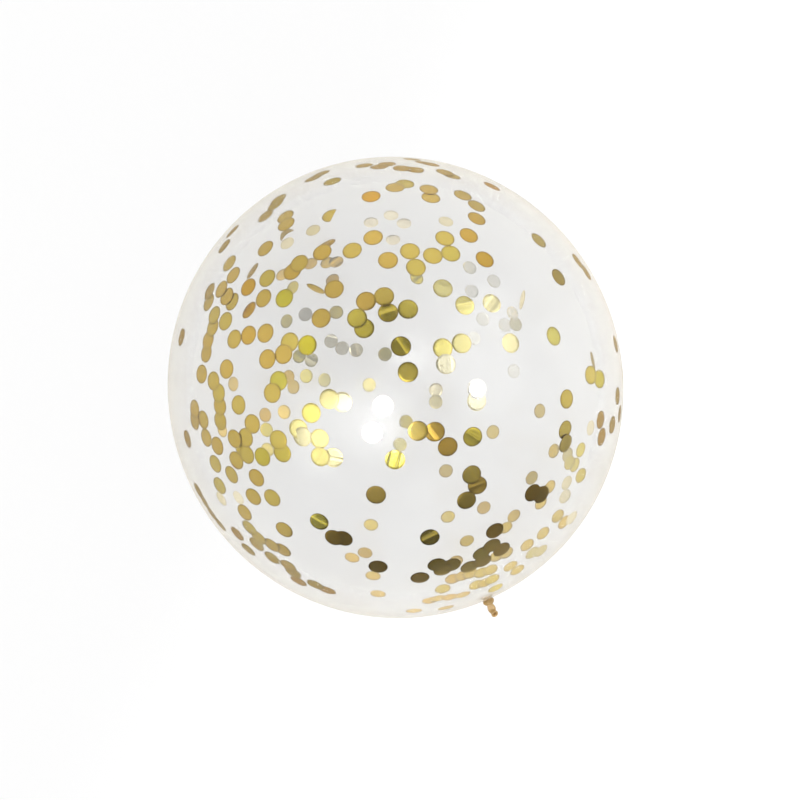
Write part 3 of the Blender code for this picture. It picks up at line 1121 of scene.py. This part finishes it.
    def build(self) -> Object:
        """Lays and dresses the discs.

        Returns:
            The discs' object.
        """
        blank = self.blank()
        bm = bmesh.new()
        tone = bm.verts.layers.float.new("tone")
        across = bm.loops.layers.uv.new(DISC_MAP)
        for trail in self.trails:
            chance = random.Random(f"{self.seed} {trail.name} {trail.wall.value}")
            for pixel in map(Vector, trail.spots):
                start = len(bm.verts)
                bm.from_mesh(blank)
                bm.verts.ensure_lookup_table()
                fresh = bm.verts[start:]
                if trail.tone is None:
                    shade = min(self.deepest_tone, chance.gauss(self.usual_tone, self.tone_spread))
                else:
                    shade = chance.gauss(trail.tone, self.tone_wobble)
                for vert in fresh:
                    vert[tone] = min(1.0, max(0.0, shade))
                    for loop in vert.link_loops:
                        loop[across].uv = vert.co.xy / self.diameter + Vector((0.5, 0.5))
                self.lay(bm, fresh, trail, pixel, chance)
        bpy.data.meshes.remove(blank)
        piece = link("foil_discs", bm, self.finish.make())
        piece.data.set_sharp_from_angle(angle=self.sharp_angle)
        return piece


def cosines(degrees: Span) -> list[float]:
    """The cosines of two angles in degrees."""
    return [math.cos(math.radians(angle)) for angle in degrees]


@dataclass(frozen=True)
class Patch:
    """A soft bright or dark patch of the studio, placed as the camera sees it, in degrees."""

    bearing: float
    off_axis: float
    core: float
    edge: float
    strength: float

    @property
    def toward(self) -> Vector:
        """The direction towards it: the picture's right and up, and towards the camera."""
        bearing, off = math.radians(self.bearing), math.radians(self.off_axis)
        return Vector((math.sin(off) * math.cos(bearing), math.sin(off) * math.sin(bearing), math.cos(off)))


@dataclass
class Studio:
    """The pale floor and the soft light all round; its angles are in degrees."""

    view: Viewpoint
    floor_radius: float = 1.25
    floor_sides: int = 96
    floor_drop: float = 0.0002
    floor_colour: Colour = (0.14, 0.14, 0.14, 1.0)
    floor_roughness: float = 0.9
    floor_glow: Span = (0.835, 0.957)
    glow_bearing: float = -25.0
    glow_reach: float = 0.35
    floor_sheen: Span = (1.35, 0.34)
    sheen_reach: Span = (0.25, 0.55)
    sheen_middle: Colour = (1.0, 0.91, 0.70, 1.0)
    sheen_colour: Colour = (1.0, 0.80, 0.44, 1.0)
    sheen_side: float = 50.0
    side_reach: Span = (0.2, 0.8)
    side_sheen: float = 0.22
    backdrop: float = 1.12
    surround: float = 0.97
    overhead: float = 0.32
    overhead_reach: Span = (46.0, 26.0)
    behind: float = 0.40
    behind_reach: Span = (112.0, 150.0)
    flag: float = 0.13
    flag_bearing: float = -73.5
    flag_sides: Span = (56.5, 40.5)
    flag_bottom: Span = (118.0, 108.0)
    flag_top: Span = (25.0, 65.0)
    bounces: int = 16
    film_bounces: int = 32
    patches: tuple[Patch, ...] = (
        Patch(-118, 19, 4, 24, 4.8),
        Patch(-112, 19, 2, 13, 6),
        Patch(-150, 28, 6, 22, 1.1),
        Patch(14, 42, 12, 28, 1.9),
        Patch(38, 62, 6, 14, 2),
        Patch(64, 52, 5, 12, 0.6),
        Patch(18, 85, 5, 10, 0.7),
        Patch(4, 96, 6, 12, 0.5),
        Patch(196, 40, 6, 14, 1),
        Patch(221, 50, 6, 13, 1.6),
        Patch(154, 46, 4, 9, 0.45),
        Patch(118, 34, 6, 12, 0.45),
        Patch(80, 36, 4, 8, 0.35),
        Patch(96, 34.8, 2.5, 7, -0.55),
        Patch(-42, 66, 8, 18, 0.2),
        Patch(175, 66, 14, 34, 0.22),
        Patch(88, 84, 16, 38, 0.34),
        Patch(-77, 51, 3, 9, 0.7),
        Patch(-120, 52, 3, 9, 0.6),
        Patch(-62, 101, 8, 20, 0.14),
        Patch(34.5, 109.5, 5, 11, -0.42),
    )

    def floor(self) -> None:
        """Makes the floor, which isn't part of the balloon."""
        material = bpy.data.materials.new("pale_floor")
        desk = NodeDesk(material)
        # Painted light: the dark grey floor glows, brighter towards one side, and in reflections it shows a
        # warm sheen, brightest in its middle.
        place = desk.place()
        across = desk.vector("DOT_PRODUCT", place, self.view.along(self.glow_bearing))
        glow = desk.ease(across, -self.glow_reach, self.glow_reach, *self.floor_glow)
        out = desk.vector("LENGTH", place)
        aside = desk.vector("DOT_PRODUCT", place, self.view.along(self.sheen_side))
        sheen = desk.ease(out, *self.sheen_reach, *self.floor_sheen)
        sheen = desk.math("ADD", sheen, desk.ease(aside, *self.side_reach, 0.0, self.side_sheen))
        sheen_tint = desk.mix(desk.ease(out, *self.sheen_reach), self.sheen_middle, self.sheen_colour)
        mirrored = desk.mirrored()
        looks = {
            "Base Color": self.floor_colour,
            "Roughness": self.floor_roughness,
            "Specular IOR Level": 0.0,
            "Emission Strength": desk.mix(mirrored, glow, sheen, "FLOAT"),
            "Emission Color": desk.mix(mirrored, WHITE, sheen_tint),
        }
        desk.fill(desk.shader, looks)
        bm = bmesh.new()
        bmesh.ops.create_circle(bm, cap_ends=True, segments=self.floor_sides, radius=self.floor_radius)
        bmesh.ops.translate(bm, vec=(0, 0, -self.floor_drop), verts=bm.verts)
        floor = make_object("floor", bm)
        floor.data.materials.append(material)

    def light(self) -> None:
        """Makes the light: an even pale surround, and what shows in the foil's reflections."""
        world = bpy.data.worlds.new("studio")
        bpy.context.scene.world = world
        desk = NodeDesk(world)
        direction = desk.add("ShaderNodeTexCoord").outputs["Generated"]
        turned = {"Vector": direction, "Rotation": (0.0, 0.0, self.view.turn)}
        seen = desk.add("ShaderNodeMapping", turned).outputs["Vector"]
        height = desk.add("ShaderNodeSeparateXYZ", {"Vector": seen}).outputs["Z"]
        glow = desk.ease(height, *cosines(self.overhead_reach), self.surround, self.overhead)
        fall = desk.ease(height, *cosines(self.behind_reach))
        even = desk.math("MULTIPLY_ADD", fall, self.behind - self.surround, glow)
        heading = desk.vector("NORMALIZE", desk.vector("MULTIPLY", seen, (1.0, 1.0, 0.0)))
        bearing = math.radians(self.flag_bearing)
        facing = desk.vector("DOT_PRODUCT", heading, (math.cos(bearing), math.sin(bearing), 0.0))
        below = desk.ease(height, *cosines(self.flag_bottom))
        above = desk.ease(height, *cosines(self.flag_top))
        sector = desk.ease(facing, *cosines(self.flag_sides))
        flagged = desk.math("MULTIPLY", desk.math("MULTIPLY", below, above), sector)
        kept = desk.math("MULTIPLY", even, desk.math("SUBTRACT", 1.0, flagged))
        total = desk.math("MULTIPLY_ADD", flagged, self.flag, kept)
        for patch in self.patches:
            near = desk.vector("DOT_PRODUCT", seen, patch.toward)
            bright = desk.ease(near, *cosines((patch.edge, patch.core)), 0.0, patch.strength)
            total = desk.math("ADD", total, bright)
        strength = desk.mix(desk.mirrored(), self.backdrop, total, "FLOAT")
        desk.fill(desk.shader, {"Color": WHITE, "Strength": strength})
        world.cycles.sampling_method = "NONE"

    def build(self) -> None:
        """Makes the floor and the light, and sets how light is carried through the film."""
        self.floor()
        self.light()
        scene = bpy.context.scene
        scene.view_settings.view_transform = "Standard"
        scene.cycles.max_bounces = self.bounces
        scene.cycles.transparent_max_bounces = self.film_bounces


def report(piece: Object) -> None:
    """Logs a finished piece's name and number of faces."""
    log.info("%s: %d faces", piece.name, len(piece.data.polygons))


def main() -> None:
    """Builds the balloon piece by piece, then its studio."""
    logging.basicConfig(level=logging.INFO, format="%(message)s")
    shape = Shape()
    view = Viewpoint()
    view.make(shape)
    for assembly in (Film(shape), Knot(shape), Confetti(shape, view)):
        report(assembly.build())
    Studio(view).build()


if __name__ == "__main__":
    main()
